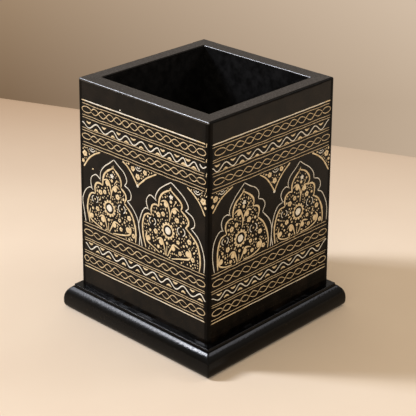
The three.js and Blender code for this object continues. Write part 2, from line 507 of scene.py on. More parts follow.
def wall(side, turns):
    """One mitred board, with slightly uneven rounded edges like lacquered wood."""
    along = "x" if turns % 2 == 0 else "y"
    section = wall_section(along)
    levels = [WALL_FOOT + level for level, _ in SHADED_GLOSS[along]]
    coats = wall_lacquers[along] + [rim_lacquers[along], edge_lacquers[along], well_lacquer, corner_shade_lacquer]
    rim, edge, well, corner = range(len(levels), len(levels) + 4)
    points, faces, slots = [], [], []
    columns = len(wall_run(0))
    for row, (inset, height, part) in enumerate(section):
        for x, y in wall_run(inset):
            dent = 0.0
            if part in EDGE_UNEVENNESS and BODY_HALF - abs(x) >= WALL_THICKNESS + EVEN_END:
                grain = noise.noise(Vector((x / EDGE_WAVELENGTH, 9.7 * turns, len(part))))
                dent = EDGE_UNEVENNESS[part] * (0.5 + 0.5 * grain)
            y += dent if part == "outer edge" else -dent
            x, y = leaned(x, y, height, inset)
            points.append(quarter_turned((x, y, height - dent), turns))
        if row:
            _, lower, before = section[row - 1]
            if part in EDGE_UNEVENNESS or before in EDGE_UNEVENNESS:
                slot = edge
            elif part == "face":
                # Lower rows of a face take the duller lacquers: painted shade toward the foot
                slot = sum(level <= lower + 0.01 for level in levels) - 1
            else:
                slot = rim if part == "rim" else well
            for column in range(columns - 1):
                a = (row - 1) * columns + column
                b = row * columns + column
                faces.append((a, b, b + 1, a + 1))
                # Faces near each mitre take the corner lacquer: painted shade down the corners
                from_end = min(column, columns - 2 - column)
                slots.append(corner if slot < rim and from_end < CORNER_STEPS + CORNER_FLATS else slot)
    last = (len(section) - 1) * columns
    faces.append(tuple(range(columns)) + tuple(range(last + columns - 1, last - 1, -1)))
    faces.append(tuple(row * columns for row in range(len(section))))
    faces.append(tuple(row * columns + columns - 1 for row in reversed(range(len(section)))))
    slots.extend([0, 0, 0])
    piece = make_object(f"{side}_board", points, faces, coats, slots=slots)
    tidy_mesh(piece)
    attach(piece, f"{side}_wall")


SIDES = ("front", "right", "back", "left")
for turns, side in enumerate(SIDES):
    wall(side, turns)


# Plinth


def rounded_square(half_side, radius, stations):
    """Plan points round a square, counter-clockwise from the middle of its front-left corner."""
    centre = half_side - radius
    outline = []
    for turns in range(4):
        corner = arc((-centre, -centre), (radius, radius), 225, 270, 3)
        side = [(-centre + 2 * centre * share / stations, -half_side) for share in range(1, stations)]
        far = arc((centre, -centre), (radius, radius), 270, 315, 3)
        for x, y in corner + side + far[:-1]:
            outline.append(quarter_turned((x, y, 0), turns)[:2])
    return outline


def plinth_section():
    """(reach, height, polish) from under the walls, over the moulding, to the felt's recess."""
    fillet_middle = (WALL_FOOT_HALF + FILLET - FILLET_SINK, PLINTH_TOP + FILLET)
    lip = LEDGE_EDGE_RADIUS
    step_foot = NOSE_CURVE[0][1]
    tuck_middle = (NOSE_REACH - FOOT_TUCK, PLINTH_UNDERSIDE + FOOT_HEIGHT)
    recess = FELT_HALF + FELT_GAP
    strips = (
        (0, [(BODY_HALF - 1, PLINTH_TOP), (TOP_REACH, PLINTH_TOP)]),
        (0, arc(fillet_middle, (FILLET, FILLET), 180, 270, 5)),
        (0.6, [(LEDGE_REACH - lip - EDGE_SUPPORT, PLINTH_TOP)]),
        (0.8, arc((LEDGE_REACH - lip, PLINTH_TOP - lip), (lip, lip), 90, 0, 5)),
        (0, [(LEDGE_REACH, step_foot + STEP_FLARE[1]), (LEDGE_REACH + STEP_FLARE[0], step_foot)]),
        (0, smooth_line(NOSE_CURVE, 0.2)),
        (0, arc(tuck_middle, (FOOT_TUCK, FOOT_HEIGHT), 0, -88, 10)),
        (0, [(recess + RECESS_BEVEL, PLINTH_UNDERSIDE), (recess, PLINTH_UNDERSIDE + RECESS_BEVEL)]),
        (0, [(recess, FELT_TOP)]),
    )
    return [(reach, height, polish) for polish, strip in strips for reach, height in strip]


def rubbed_smooth(x, y):
    """How polished the plinth is: most at its front right corner, and a good deal along its right side."""
    away = dist((x, y), (NOSE_REACH, -NOSE_REACH))
    corner = 0.66 * max(0.0, 1 - away / 80) + 0.34 * max(0.0, min(1.0, (20 - away) / 9))
    return max(corner, 0.8) if x > abs(y) + 0.2 else corner


def plinth():
    """The moulded base board, closed above under the walls and below in the felt's recess."""
    rings, polish = [], []
    for reach, height, rubbed in plinth_section():
        ring = []
        uneven = PLINTH_UNEVENNESS if WALL_FOOT_HALF < reach and height > PLINTH_UNDERSIDE else 0
        for x, y in rounded_square(reach, PLINTH_CORNER_RADIUS, PLINTH_STATIONS):
            dent = 1 - uneven * (1 + noise.noise(Vector((x / 5, y / 5, height / 3 + 3))))
            ring.append((x * dent, y * dent, height))
            polish.append(max(rubbed, rubbed_smooth(x, y)))
        rings.append(ring)
    piece = ring_solid("moulded_plinth", rings, plinth_lacquer)
    layer = piece.data.attributes.new("polish", "FLOAT", "POINT")
    layer.data.foreach_set("value", polish)
    tidy_mesh(piece)
    attach(piece, "plinth_board")


plinth()


# Felt


def felt_sheet():
    """A cut felt square: a napped face, soft edges and rounded corners."""
    rings = []
    for inset, height in FELT_RINGS:
        ring = []
        for x, y in rounded_square(FELT_HALF - inset, FELT_CORNER_RADIUS, FELT_STATIONS):
            fuzz = 1 - FELT_FUZZ * abs(noise.noise(Vector((x * 1.7, y * 1.7, height * 3))))
            ring.append((x * fuzz, y * fuzz, height))
        rings.append(ring)
    piece = ring_solid("felt_sheet", rings, felt)
    tidy_mesh(piece, sharp_angle=60)
    attach(piece, "felt_pad")
    return piece


felt_piece = felt_sheet()

# The other CAD nodes keep their shapes and take finer materials
for name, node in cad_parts.items():
    material = steel if name.startswith(("base_screw", "brad")) else wall_lacquers["x"][0]
    node.data.materials.clear()
    node.data.materials.append(material)


# Brush work

# On a face, u runs from its left edge and v up from the wall's foot, in millimetres. They are read off a
# square-on view of the face's four corners, each this far in from the box's edge
PAINT_INSET = 0.25
FACE_WIDTH = 2 * BODY_HALF
# The coats of a brush, by their place in its materials: gold is laid thin in the rules and the ropes
THICK, THIN = 0, 1


class Brush:
    """Raised paint of one colour on one face."""

    def __init__(self, colour, side, turns, materials, lift, fullness):
        self.name = f"{side}_{colour}_paint"
        self.slot = f"{colour}_paint"
        self.turns = turns
        self.materials = materials
        self.lift = lift
        self.fullness = fullness
        self.random = random.Random(f"{side} {colour}")
        self.points, self.faces, self.smooth, self.coats = [], [], [], []

    def place(self, u, v, lift):
        """A point on the leaning face."""
        foot, rim = WALL_FOOT_HALF - PAINT_INSET, BODY_HALF - PAINT_INSET
        narrowing = foot / rim
        depth = 1 + (narrowing - 1) * v / (RIM_HEIGHT - WALL_FOOT)
        height = WALL_FOOT + v * narrowing / depth
        along = (u - BODY_HALF) / BODY_HALF * foot / depth
        self.points.append(quarter_turned((along, -outer_half(height) - lift, height), self.turns))
        return len(self.points) - 1

    def add_face(self, corners, smooth=True, coat=THICK):
        self.faces.append(corners)
        self.smooth.append(smooth)
        self.coats.append(coat)

    def stroke(self, points, width, step=0.35, tremor=0.05, coat=THICK):
        """A line of paint with rounded ends; width is one number, or a third value of each point."""
        line = smooth_line([(*p, width) if len(p) == 2 else p for p in points], step)
        seed = self.random.uniform(0, 900)
        lengths = [0.0]
        for p, q in zip(line, line[1:]):
            lengths.append(lengths[-1] + dist(p[:2], q[:2]))
        total = lengths[-1]
        rows = []
        for i, (u, v, w) in enumerate(line):
            before, after = line[max(i - 1, 0)], line[min(i + 1, len(line) - 1)]
            du, dv = after[0] - before[0], after[1] - before[1]
            size = hypot(du, dv) or 1.0
            across = (-dv / size, du / size)
            shake = tremor * noise.noise(Vector((lengths[i] / 4.0, seed, 0.3)))
            swell = 1 + 0.3 * noise.noise(Vector((lengths[i] / 1.6, seed, 7.3)))
            end = min(lengths[i], total - lengths[i]) / max(0.5 * w, 0.05)
            cap = sqrt(max(0.04, 1 - (1 - min(end, 1)) ** 2))
            half = max(0.5 * w * swell * cap * self.fullness, 0.03)
            lift = self.lift * (0.85 + 0.3 * cap * swell) * min(1, 0.35 + 2.2 * half)
            u, v = u + across[0] * shake, v + across[1] * shake
            row = []
            for side, height in ((-1, -PAINT_SINK), (-0.6, lift), (0.6, lift), (1, -PAINT_SINK)):
                row.append(self.place(u + across[0] * side * half, v + across[1] * side * half, height))
            rows.append(row)
        for p, q in zip(rows, rows[1:]):
            for k in range(3):
                self.add_face((p[k], q[k], q[k + 1], p[k + 1]), True, coat)
            self.add_face((p[3], q[3], q[0], p[0]), False, coat)
        self.add_face(tuple(rows[0]), False, coat)
        self.add_face(tuple(reversed(rows[-1])), False, coat)

    def spot(self, u, v, radius, petals=0, depth=0.0, hole=0.0, stretch=1.0, lean=0.0):
        """A domed spot of paint, round or petalled, with an optional bare middle."""
        sides = max(10, 6 * petals)
        turn = self.random.uniform(0, tau)
        rough = [self.random.uniform(0.92, 1.08) for _ in range(sides)]
        lift = self.lift * (1.0 + 0.3 * self.random.random())
        levels = [(1.0, -PAINT_SINK), (0.8, 0.75 * lift), (0.5, lift)]
        if hole:
            levels += [(1.6 * hole / radius, 0.9 * lift), (hole / radius, -PAINT_SINK)]
        rings = []
        for share, height in levels:
            ring = []
            for i in range(sides):
                angle = tau * i / sides
                petal = 1 - depth * (0.5 + 0.5 * cos(petals * angle)) if petals and share >= 0.5 else 1
                reach = radius * share * petal * (rough[i] if share > 0.6 else 1)
                if stretch == 1.0:
                    angle += turn
                x, y = reach * stretch * cos(angle), reach * sin(angle)
                across, up = x * cos(lean) - y * sin(lean), x * sin(lean) + y * cos(lean)
                ring.append(self.place(u + across, v + up, height))
            rings.append(ring)
        for low, high in zip(rings, rings[1:]):
            for i in range(sides):
                j = (i + 1) % sides
                self.add_face((low[i], low[j], high[j], high[i]))
        outer, inner = rings[0], rings[-1]
        if hole:
            for i in range(sides):
                j = (i + 1) % sides
                self.add_face((outer[j], outer[i], inner[i], inner[j]), False)
        else:
            self.add_face(tuple(inner))
            self.add_face(tuple(reversed(outer)), False)

    def finish(self):
        piece = make_object(self.name, self.points, self.faces, self.materials, self.smooth, self.coats)
        attach(piece)


# Where the painted lines lie on the two faces of the photograph. Fullness widens or narrows all strokes of
# a colour. A bold line has its v and its strokes: colour, width, and the u of start and end. An interlace
# has its middle v, its height and its first crest. A wave has its lowest and highest v, start, turns and end
EDGE_MARGIN = 1.4
FINE_LINE = 0.31
FRONT = {
    "fullness": {"gold": 1.0, "cream": 0.92},
    "bold lines": (
        (80.8, (("gold", 0.6, 0, 70), ("cream", 0.56, 3, 64))),
        (9.1, (("gold", 0.5, 0, 70), ("cream", 0.34, 9, 69))),
    ),
    "fine lines": (
        79.4, 74.6, 73.6, 69.2, 68.15, 63.35, 62.1, 28.45, 27.15, 21.8, 20.85, 16.1, 15.25, 10.3,
    ),
    "interlaces": ((77.15, 1.3, 4.1), (65.85, 1.2, 4.1), (24.5, 1.25, 3.9), (12.7, 1.3, 5.9)),
    "interlace pitch": 4.55,
    "waves": (
        (
            69.7, 72.2, (1.6, 71.6),
            (5.3, 9.8, 14.5, 19, 22.5, 26.5, 30.7, 35, 39.5, 43.5, 46, 50, 53.3, 57, 59, 62.5),
            (65.4, 69.6),
        ),
        (
            17.4, 20.0, (2.2, 19.4),
            (5.2, 9.3, 12, 16, 20, 24.3, 28, 32.5, 36.5, 41, 45, 49, 53, 57, 61.5, 66),
            (68.6, 17.8),
        ),
    ),
}
RIGHT = {
    "fullness": {"gold": 0.95, "cream": 0.80},
    "bold lines": (
        (80.3, (("gold", 0.6, 0, 70), ("cream", 0.56, 0, 65))),
        (8.1, (("gold", 0.48, 0, 70), ("cream", 0.36, 22, 66))),
    ),
    "fine lines": (79.1, 74.2, 73.2, 69.0, 67.8, 62.8, 61.5, 28.3, 27.0, 21.5, 20.5, 15.5, 14.6, 9.4),
    "interlaces": ((76.8, 1.3, 5.0), (65.2, 1.2, 4.6), (24.2, 1.25, 4.3), (12.0, 1.3, 5.2)),
    "interlace pitch": 5.0,
    "waves": (
        (
            69.3, 71.9, (1.4, 71.2),
            (4, 8.5, 12.5, 17, 21, 25.5, 29.5, 34, 38, 42, 46, 50.5, 54.5, 59, 63),
            (67.6, 72.4),
        ),
        (
            16.9, 19.3, (1.6, 18.6),
            (5.5, 9.5, 13.5, 17, 21, 25, 28.5, 33, 37, 41.5, 45.5, 50.5, 54, 59, 63),
            (68.4, 20.4),
        ),
    ),
}
# A rope's strand, in shares of two pitches: how long it rises, how far before and past its crest its stroke
# starts and ends, and how far past the crest the next strand crosses
ROPE_RISE = 0.41
ROPE_STROKE = (0.70, 0.30)
ROPE_CROSSING = 0.295
ROPE_SAMPLES = 22
# The loop that closes a rope, in pitches, and its brush width
LOOP_LENGTH = 0.95
LOOP_WIDTH = 0.42


def interlace(gold, middle, height, first_crest, pitch):
    """A two-strand rope drawn as S strokes, closed by a loop at each end."""
    left, right = EDGE_MARGIN, FACE_WIDTH - EDGE_MARGIN
    period = 2 * pitch
    rise = ROPE_RISE * period
    fall = period - rise
    crests = [first_crest]
    while crests[-1] < FACE_WIDTH + 0.8 * period:
        crests.append(crests[-1] + pitch * gold.random.uniform(0.92, 1.08))
    # The crests are shifted so that the last crossing is one loop from the right end
    past_crest = ROPE_CROSSING * period
    last = right - LOOP_LENGTH * pitch
    nearest = min(range(len(crests)), key=lambda i: abs(crests[i] + past_crest - last))
    shift = (last - crests[nearest] - past_crest) / nearest
    crests = [crest + shift * i for i, crest in enumerate(crests)]
    crossings = [crest - pitch + past_crest for crest in crests]
    first = min(crossing for crossing in crossings if crossing > left + 0.55 * pitch)
    for crest in crests:
        start = crest - ROPE_STROKE[0] * period + 0.05
        end = crest + ROPE_STROKE[1] * period - 0.1
        swell = height * gold.random.uniform(0.9, 1.06)
        points = []
        for i in range(ROPE_SAMPLES + 1):
            share = i / ROPE_SAMPLES
            u = start + (end - start) * i / ROPE_SAMPLES
            if u < crest - rise:
                v = cos(pi * (u - (crest - period)) / fall)
            elif u < crest:
                v = -cos(pi * (u - (crest - rise)) / rise)
            else:
                v = cos(pi * (u - crest) / fall)
            if first - 0.2 < u < last + 0.2:
                points.append((u, middle + swell * v, 0.21 + 0.28 * sin(pi * share) ** 0.9))
        if len(points) > 3:
            gold.stroke(points, 0, 0.45, 0.12, THIN)
    for crossing, end in ((first, max(left, first - 1.15 * pitch)), (last, right)):
        reach = 0.5 * (end - crossing)
        loop = arc((crossing + reach, middle), (reach, 0.95 * height), 172, -172, 16)
        gold.stroke(loop, LOOP_WIDTH, 0.4, coat=THIN)


def wave(gold, cream, low, high, start, turns, end):
    """A cream wave with a gold half-moon petal in each of its bays."""
    points = [(*start, 0.5)]
    for index, u in enumerate(turns):
        points.append((u, high if index % 2 else low, 0.6))
    points.append((*end, 0.35))
    line = []
    for p, q in zip(points, points[1:]):
        for i in range(10):
            t = i / 10
            ease = 0.5 - 0.5 * cos(pi * t)
            line.append((p[0] + (q[0] - p[0]) * t, p[1] + (q[1] - p[1]) * ease, p[2]))
    line.append(points[-1])
    cream.stroke(line, 0, 0.4, 0.12)
    for index, u in enumerate(turns):
        facing = -1 if index % 2 else 1
        base = (low + 0.1) if facing < 0 else (high - 0.1)
        u += gold.random.uniform(-0.4, 0.4)
        width = gold.random.uniform(1.15, 1.5)
        rise = base + 0.3 * facing
        petal = [(u - width, rise, 0.3), (u, base - 0.25 * facing, 1.0), (u + width, rise, 0.3)]
        gold.stroke(petal, 0, 0.25)


def bands(gold, cream, design):
    left, right = EDGE_MARGIN, FACE_WIDTH - EDGE_MARGIN
    for v, strokes in design["bold lines"]:
        for colour, width, start, end in strokes:
            brush = cream if colour == "cream" else gold
            brush.stroke([(max(start, left), v), (min(end, right), v)], width, 0.7, 0.1)
    for v in design["fine lines"]:
        start = left + gold.random.uniform(-0.2, 0.4)
        end = right - gold.random.uniform(-0.2, 0.6)
        gold.stroke([(start, v), (end, v)], FINE_LINE, 0.7, 0.22, THIN)
    for middle, height, first_crest in design["interlaces"]:
        interlace(gold, middle, height, first_crest, design["interlace pitch"])
    for low, high, start, turns, end in design["waves"]:
        wave(gold, cream, low, high, start, turns, end)


# Arches: each line is a chain of lobes from the left foot over the tip to the right foot. They meet in
# cusps: a lobe starts where the one before it ends
FRONT["arches"] = (
    {
        "flower": (16.6, 39.0),
        "outer": (
            ((2.6, 28.8), (1.1, 37), (1.4, 40), (3, 43), (5.5, 44.8), (6.6, 44.4)),
            ((6.0, 47), (6.4, 49.3), (8.7, 51), (10.5, 50.5), (11.5, 49.7)),
            ((11.8, 53), (14, 56), (17, 58.4), (19.4, 60.4)),
            ((22, 58.7), (25, 56.7), (26.4, 54.5), (26.5, 53), (25.3, 51.3)),
            ((27.5, 50.6), (28.9, 48.8), (28.6, 46.5), (26.8, 45.4)),
            ((30, 43), (32.5, 39.5), (33.3, 36), (33.6, 33), (33.3, 28.8)),
        ),
        "inner": (
            ((5, 29), (3.8, 35), (4.3, 39), (6, 42.3), (8.6, 43)),
            ((8.3, 45.5), (9.3, 47.6), (11.5, 48), (12.8, 47.5)),
            ((13.2, 51), (15, 54), (19, 56.8)),
            ((22.5, 54), (23.5, 51.5), (23.2, 49.7)),
            ((25.5, 48), (26.1, 46), (25, 43.8)),
            ((29, 40.5), (30.7, 37), (31.4, 33), (31.2, 29)),
        ),
    },
    {
        "flower": (48.9, 40.1),
        "outer": (
            ((34.9, 28.8), (33.9, 33), (33, 37), (33.7, 40), (35, 43.5), (36.8, 45.8), (38.3, 45.8)),
            ((37.4, 48), (37.6, 50), (39.3, 51.9), (41, 51.6), (42.3, 50.9)),
            ((42.6, 53.2), (44.5, 56), (47.5, 58.4), (50.7, 60.5)),
            ((53.5, 58.9), (57, 56.7), (59.2, 54.2), (59.5, 52.5), (58, 51.4)),
            ((61.5, 50), (62.8, 48), (62.4, 46), (60.9, 45)),
            ((64.5, 42.5), (66.8, 38.5), (67.9, 34), (67.6, 29)),
        ),
        "inner": (
            ((37, 29.2), (35.5, 34), (35.2, 38.5), (36.3, 42.5), (38.3, 43.9), (40, 43.8)),
            ((40, 46.5), (41, 48.5), (43, 49), (44, 48.5)),
            ((44.5, 52), (46.5, 55), (50.3, 57.3)),
            ((55.5, 54), (56.3, 52), (55.6, 50.8)),
            ((59, 48.5), (59.7, 46.5), (58.3, 44.4)),
            ((63.8, 40), (65.3, 36), (65.7, 32), (65.3, 28.8)),
        ),
    },
)
RIGHT["arches"] = (
    {
        "flower": (17.0, 38.3),
        "outer": (
            ((3, 28.8), (2, 35), (2.3, 40), (4, 43.3), (5.8, 44.8), (7.2, 44.6)),
            ((6.5, 47.5), (7.5, 49.7), (9.5, 50.3), (10.9, 49.7)),
            ((11, 52), (13.5, 55.7), (16.5, 58.3), (18.8, 60.4)),
            ((22, 58.2), (25, 56.5), (26.9, 54), (26.7, 51.4)),
            ((29.3, 50.3), (30.5, 48), (29.2, 45.2)),
            ((33, 41), (34.6, 36.5), (34, 28.8)),
        ),
        "inner": (
            ((4.8, 29), (4.5, 35), (5, 38.5), (6.5, 41.8), (9.5, 42.5)),
            ((8.8, 45), (9.3, 47), (11, 48), (12.8, 47.7)),
            ((12.8, 50.5), (14, 53.5), (16.5, 55.5), (18.5, 57)),
            ((21.5, 55), (23.7, 52.8), (24.2, 50.5), (23.5, 49.5)),
            ((26.5, 48.5), (27.3, 46.5), (26.5, 43.8)),
            ((29.5, 41), (31.5, 37.5), (32.7, 33), (32.5, 29)),
        ),
    },
    {
        "flower": (50.2, 38.3),
        "outer": (
            ((35.5, 28.8), (34.5, 33), (35, 38), (36, 41.5), (38, 44.5), (40.8, 45.3)),
            ((39.7, 48), (40.3, 50), (42.5, 51.2), (44, 50.5)),
            ((43.8, 53), (45.5, 55.5), (48, 57.3), (50.6, 59.6)),
            ((53, 57.7), (56.5, 55.3), (58.8, 52.5), (59.3, 49.8)),
            ((62, 48.9), (63.3, 47), (63.2, 45), (61.8, 43.8)),
            ((64.5, 42.3), (67, 38), (68, 34), (67.8, 29)),
        ),
        "inner": (
            ((36.8, 29), (36.2, 35), (37, 39), (39, 42.5), (42.3, 43)),
            ((42, 45.5), (42.8, 47.5), (44.7, 48.3), (46.3, 47.8)),
            ((46, 50.5), (47.3, 53), (50.8, 56)),
            ((54, 54.5), (56.3, 51.8), (56.5, 49.8), (55.3, 48.6)),
            ((58.5, 48), (59.9, 46), (59.5, 42.3)),
            ((62.5, 40), (64.5, 36), (65.3, 32), (65, 29)),
        ),
    },
)

# What fills an arch, placed from the middle of its flower. A head is a round bulb with a stem that thickens
# over it and ends in a hook: the bulb's (u, v, radius), then (u, v, width) along the stem
HEADS = (
    ((-1.0, 10.5, 1.25), (
        (0.9, 4.6, 0.45), (1.1, 7.0, 0.55), (0.6, 9.4, 0.85), (-0.3, 11.3, 1.05), (-1.2, 11.8, 1.0),
        (-2.5, 11.6, 0.7), (-3.7, 10.9, 0.25),
    )),
    ((3.4, 9.0, 1.25), (
        (0.9, 4.6, 0.45), (1.5, 7.1, 0.6), (2.4, 9.2, 0.9), (3.7, 10.3, 1.05), (4.8, 10.3, 0.8),
        (6.0, 9.6, 0.25),
    )),
    ((-3.9, -5.8, 1.3), (
        (-1.4, -10.6, 0.5), (-1.8, -8.2, 0.6), (-2.5, -6.2, 0.9), (-3.4, -4.5, 1.05), (-4.8, -4.4, 0.85),
        (-6.3, -5.5, 0.25),
    )),
    ((2.6, -6.3, 1.2), (
        (-0.4, -10.6, 0.5), (0.6, -8.4, 0.6), (1.5, -6.8, 0.85), (2.5, -5.1, 1.05), (3.7, -4.8, 0.9),
        (4.8, -5.1, 0.6), (6.0, -5.4, 0.25),
    )),
    ((-10.5, -6.3, 1.2), (
        (-4.5, -10.6, 0.5), (-8.0, -9.2, 0.6), (-10.9, -8.0, 0.85), (-11.8, -6.2, 0.95), (-11.6, -4.7, 0.7),
        (-11.2, -3.2, 0.25),
    )),
    ((10.4, -6.0, 1.4), (
        (1.8, -10.8, 0.5), (6.5, -9.3, 0.6), (10.6, -8.0, 0.85), (11.9, -6.2, 1.0), (11.5, -4.6, 0.8),
        (10.5, -3.5, 0.3),
    )),
)
TENDRILS = (
    ((3.0, 10.8, 0.35), (3.6, 11.8, 0.4), (4.3, 12.9, 0.3)),
    ((-0.7, -10.6, 0.4), (-0.6, -6.2, 0.4)),
    ((0.9, 4.0, 0.5), (0.9, 5.0, 0.5)),
)
BLOSSOMS = (
    (-2.4, 6.2, 1.15), (-4.9, 5.2, 1.3), (4.8, 6.1, 1.35), (8.0, 6.2, 0.7), (11.0, -0.9, 1.3),
    (5.5, -3.2, 1.0), (-6.7, -2.2, 1.25), (-5.0, -8.2, 0.9), (6.6, -7.1, 1.05), (13.2, -7.4, 1.15),
    (-0.4, -5.2, 0.75), (1.5, 12.4, 0.8), (-9.7, -2.7, 0.7), (-7.0, 5.5, 0.55), (6.6, 4.5, 0.5),
    (-1.2, 13.3, 0.45), (4.3, 13.0, 0.55), (9.3, 4.2, 0.5), (8.4, -3.4, 0.6), (-8.0, -5.4, 0.6),
    (-2.0, -9.9, 0.4), (9.4, 0.9, 0.5),
)
CREAM_RINGS = ((-8.2, 1.6, 1.7), (6.9, 2.1, 1.95))
STAR = (1.8, 14.2, 1.2)
FLOWER_DISC = 1.65
FLOWER_RING = 3.05
FLOWER_PETALS = 13
ARCH_FOOT = 28.9
# Dots: their radii, the gap between them, and in each kind of panel their lowest v, gap to the border and
# number of tries
DOT_RADII = (0.24, 0.28, 0.32, 0.4, 0.5)
DOT_GAP = 0.25
ARCH_DOTS = (29.3, 0.55, 2300)
SPANDREL_DOTS = (50, 0.42, 500)


def lobe_lines(lobes):
    """A line for each lobe of a chain, so that a corner is kept at each cusp."""
    lines, start = [], ()
    for lobe in lobes:
        lines.append(smooth_line(start + lobe, 0.5))
        start = lobe[-1:]
    return lines


def inside(u, v, outline):
    """Whether a point lies inside a closed outline."""
    within = False
    for (u0, v0), (u1, v1) in zip(outline, outline[1:] + outline[:1]):
        if (v0 > v) != (v1 > v) and u < u0 + (u1 - u0) * (v - v0) / (v1 - v0):
            within = not within
    return within


def scatter(gold, outline, taken, floor, gap, tries):
    """Small dots and ticks in the ground that the larger motifs leave open."""
    us, vs = [u for u, _ in outline], [v for _, v in outline]
    for _ in range(tries):
        u, v = gold.random.uniform(min(us), max(us)), gold.random.uniform(max(floor, min(vs)), max(vs))
        radius = gold.random.choice(DOT_RADII)
        if not inside(u, v, outline) or min(dist((u, v), p) for p in outline) < gap + radius:
            continue
        if any(dist((u, v), spot[:2]) < spot[2] + radius + DOT_GAP for spot in taken):
            continue
        taken.append((u, v, radius))
        if gold.random.random() < 0.45:
            gold.spot(u, v, 0.78 * radius, stretch=1.9, lean=gold.random.uniform(0, pi))
        else:
            gold.spot(u, v, radius)


def blossom(gold, u, v, radius):
    gold.spot(u, v, radius, petals=5, depth=0.17, hole=0.17 if radius > 0.95 else 0.0)


def flower(gold, cream, u, v):
    """The arch's flower: a cream disc, bare ground and a gold ring of round petals."""
    cream.spot(u, v, FLOWER_DISC)
    gold.stroke(arc((u, v), (FLOWER_RING - 0.42, FLOWER_RING - 0.42), 0, 360, 60), 0.62, 0.3, 0.03)
    for i in range(FLOWER_PETALS):
        angle = tau * (i + gold.random.uniform(-0.08, 0.08)) / FLOWER_PETALS
        radius = gold.random.uniform(0.55, 0.66)
        gold.spot(u + FLOWER_RING * cos(angle), v + FLOWER_RING * sin(angle), radius)


def arch(gold, cream, shape):
    """A cusped arch: its two borders, its flower and what grows round it."""
    centre_u, centre_v = shape["flower"]
    outer, inner = lobe_lines(shape["outer"]), lobe_lines(shape["inner"])
    for lobe in outer:
        cream.stroke(lobe, 0.5, tremor=0.08)
    for lobe in outer[:2]:
        (u0, v0), (u1, v1) = lobe[-3], lobe[-1]
        cream.stroke([(u1, v1), (u1 + 0.7 * (u1 - u0), v1 + 0.7 * (v1 - v0))], 0.4)
    for lobe in inner:
        last = len(lobe) - 1
        swelling = [(u, v, 0.55 + 0.42 * sin(pi * i / last) ** 0.8) for i, (u, v) in enumerate(lobe)]
        gold.stroke(swelling, 0, tremor=0.1)
    tip_u, tip_v = inner[2][-1]
    gold.stroke([(tip_u - 0.9, tip_v + 0.2), (tip_u + 0.6, tip_v + 0.5)], 0.35)
    gold.stroke([(tip_u - 0.1, tip_v - 0.3), (tip_u + 0.1, tip_v + 1.2)], 0.35)
    flower(gold, cream, centre_u, centre_v)
    taken = [(centre_u, centre_v, FLOWER_RING + 0.6)]

    def near(u, v, spread=0.25):
        shift = gold.random.uniform
        return centre_u + u + shift(-spread, spread), centre_v + v + shift(-spread, spread)

    for bulb, stem in HEADS + tuple((None, tendril) for tendril in TENDRILS):
        shift_u, shift_v = near(0, 0, 0.15)
        line = [(shift_u + u, max(shift_v + v, ARCH_FOOT), width) for u, v, width in stem]
        gold.stroke(line, 0, 0.25)
        taken.extend((u, v, 0.5 * width) for u, v, width in smooth_line(line, 0.5))
        if bulb:
            place = (shift_u + bulb[0], shift_v + bulb[1], bulb[2])
            gold.spot(*place)
            taken.append(place)
    for u, v, radius in BLOSSOMS:
        place = (*near(u, v), radius)
        blossom(gold, *place)
        taken.append(place)
    for u, v, radius in CREAM_RINGS:
        u, v = near(u, v)
        for start in (115, -65):
            cream.stroke(arc((u, v), (radius, 0.85 * radius), start, start + 130, 10), 0.5, 0.25)
        gold.spot(u, v, 0.4)
        taken.append((u, v, radius + 0.2))
    place = (*near(*STAR[:2]), STAR[2])
    cream.spot(*place, petals=5, depth=0.4)
    taken.append(place)
    outline = [p for lobe in inner for p in lobe[:-1]] + [inner[-1][-1]]
    scatter(gold, outline, taken, *ARCH_DOTS)


# The quarter and half panels between the arches: their borders run down to a tip, and a quarter has a corner
FRONT["spandrels"] = (
    {
        "borders": (((11.7, 61.3), (7.9, 59.2), (5.1, 56.9), (2.0, 52.7)),),
        "corner": (1.2, 61.4),
        "blossoms": ((2.8, 58.4, 1.5), (1.75, 55.1, 0.95)),
        "crescent": (7.1, 60.9),
    },
    {
        "borders": (
            ((24.3, 61.4), (26.8, 60.1), (29.6, 57.5), (32.6, 53.5)),
            ((32.6, 53.5), (35.4, 56.3), (37.9, 58.4), (42.9, 61.4)),
        ),
        "blossoms": ((30.1, 59.9, 1.25), (32.7, 57.3, 1.4), (36.7, 60.1, 1.2)),
        "crescent": (33.2, 60.6),
    },
    {
        "borders": (((58.9, 61.2), (62.1, 59.3), (65.1, 56.7), (68.0, 52.4)),),
        "corner": (68.8, 61.4),
        "blossoms": ((67.1, 57.9, 1.55), (68.1, 55.6, 0.7)),
        "crescent": (64.0, 60.5),
    },
)
RIGHT["spandrels"] = (
    {
        "borders": (((12.5, 60.9), (8.6, 59.2), (5.2, 57), (1.8, 53.3)),),
        "corner": (1.2, 60.9),
        "blossoms": ((3.3, 58.6, 1.45), (1.9, 56.1, 0.9)),
        "crescent": (6.8, 60.3),
    },
    {
        "borders": (
            ((27.3, 60.9), (30.6, 58.6), (33.4, 55.4), (35.8, 51.5)),
            ((35.8, 51.5), (38.3, 55.4), (41, 58.2), (44.7, 60.8)),
        ),
        "blossoms": ((32.9, 59.2, 1.25), (35.8, 56.0, 1.4), (39.6, 59.8, 1.25)),
        "crescent": (36.3, 60.1),
    },
    {
        "borders": (((57.8, 60.9), (62, 58.4), (65.4, 55), (68.3, 50.8)),),
        "corner": (68.8, 60.9),
        "blossoms": ((66.6, 58.3, 1.5), (68.0, 55.6, 0.8)),
        "crescent": (63.3, 60.0),
    },
)
# Slips of the brush in the front's design: gold ticks past the rules' right ends, a curl at the end of the
# upper wave and two stray dots
RULE_TICKS = ((79.5, 81.3), (73.6, 75.3), (67.9, 69.6), (61.9, 63.7))
WAVE_CURL = ((65.2, 72.3, 0.4), (66.0, 71.4, 0.6), (67.0, 71.1, 0.65), (68.6, 72.2, 0.4))
STRAY_CREAM = (23.3, 81.9, 0.3)
STRAY_GOLD = (7.3, 53.0, 0.35)


